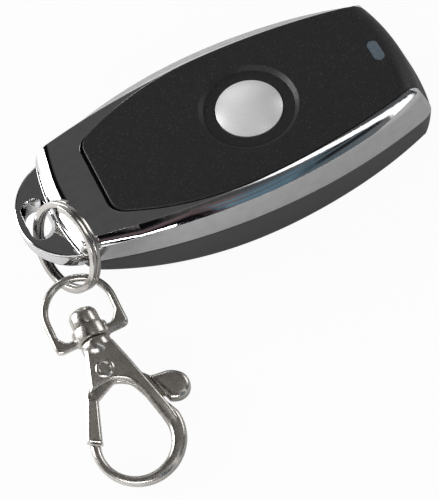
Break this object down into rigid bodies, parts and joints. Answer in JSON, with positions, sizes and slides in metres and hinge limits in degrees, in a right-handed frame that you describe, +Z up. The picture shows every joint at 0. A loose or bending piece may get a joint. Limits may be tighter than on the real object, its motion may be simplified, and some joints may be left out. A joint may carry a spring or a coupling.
{
  "type": "key ring remote transmitter",
  "caption": "Hand-held remote transmitter with one press button, lamp window, plated bezel frame, split ring and swivel trigger clasp",
  "frame": {"origin": "middle of the flat back face, straight below the button's centre", "axes": "+X points from the key ring lug to the lamp end, +Y to the far long side, +Z up through the button"},
  "size_m": [0.0734, 0.0605, 0.0182],
  "materials": {
    "bezel_frame": "bright plated",
    "top_cover": "fine satin",
    "back_cover": "satin",
    "case_screws": "zinc plated",
    "button_cap": "satin plated plastic",
    "switch_body": "moulded",
    "switch_frame": "pressed",
    "switch_plunger": "moulded",
    "light_window": "clear smoke",
    "lamp": "clear tinted",
    "circuit_board": "solder mask",
    "encoder_chip": "moulded",
    "saw_resonator": "can",
    "rf_transistor": "moulded",
    "tuning_coil": "enamelled copper",
    "chip_parts": "fired",
    "battery": "plain sleeve",
    "battery_end_contact": "nickel plated",
    "battery_leaf_contact": "nickel plated",
    "split_ring": "nickel plated",
    "swivel_eye": "nickel plated",
    "hook_body": "nickel plated",
    "trigger_gate": "nickel plated",
    "trigger_rivet": "nickel plated",
    "trigger_spring": "spring wire"
  },
  "bodies": {
    "housing": {"bezel_frame": "bezel_frame", "top_cover": "top_cover", "back_cover": "back_cover", "case_screws": "case_screws", "switch_body": "switch_body", "switch_frame": "switch_frame", "light_window": "light_window", "lamp": "lamp", "circuit_board": "circuit_board", "encoder_chip": "encoder_chip", "saw_resonator": "saw_resonator", "rf_transistor": "rf_transistor", "tuning_coil": "tuning_coil", "chip_parts": "chip_parts", "battery": "battery", "battery_end_contact": "battery_end_contact", "battery_leaf_contact": "battery_leaf_contact"},
    "button": {"button_cap": "button_cap"},
    "plunger": {"switch_plunger": "switch_plunger"},
    "ring": {"split_ring": "split_ring"},
    "eye": {"swivel_eye": "swivel_eye"},
    "hook": {"hook_body": "hook_body", "trigger_rivet": "trigger_rivet", "trigger_spring": "trigger_spring"},
    "trigger": {"trigger_gate": "trigger_gate"}
  },
  "joints": [
    {"name": "button_press", "type": "slide", "parent": "housing", "child": "button", "axis": [0, 0, -1], "range_m": [0, 0.00025], "stiffness_N_per_m": 4000, "springref_m": -0.0003},
    {"name": "plunger_press", "type": "slide", "parent": "housing", "child": "plunger", "axis": [0, 0, -1], "range_m": [0, 0.0003]},
    {"name": "ring_swing", "type": "hinge", "parent": "housing", "child": "ring", "pos_m": [-0.03726, -0.00027, 0.01094], "axis": [-0.4323, -0.1388, -0.891], "range_deg": [0, 20]},
    {"name": "eye_swing", "type": "hinge", "parent": "ring", "child": "eye", "pos_m": [-0.03748, -0.01034, 0.00755], "axis": [-1, 0, 0], "range_deg": [0, 25]},
    {"name": "clasp_swivel", "type": "hinge", "parent": "eye", "child": "hook", "pos_m": [-0.03748, -0.02625, 0.00466], "axis": [0, 0.9839, 0.1788], "continuous": true},
    {"name": "trigger_pull", "type": "hinge", "parent": "hook", "child": "trigger", "pos_m": [-0.03793, -0.02625, 0.00466], "axis": [0, -0.1788, 0.9839], "range_deg": [0, 30], "stiffness_Nm_per_rad": 0.02, "springref_deg": -20.05}
  ],
  "couplings": [
    {"joint": "plunger_press", "follows": "button_press", "ratio": 1}
  ]
}
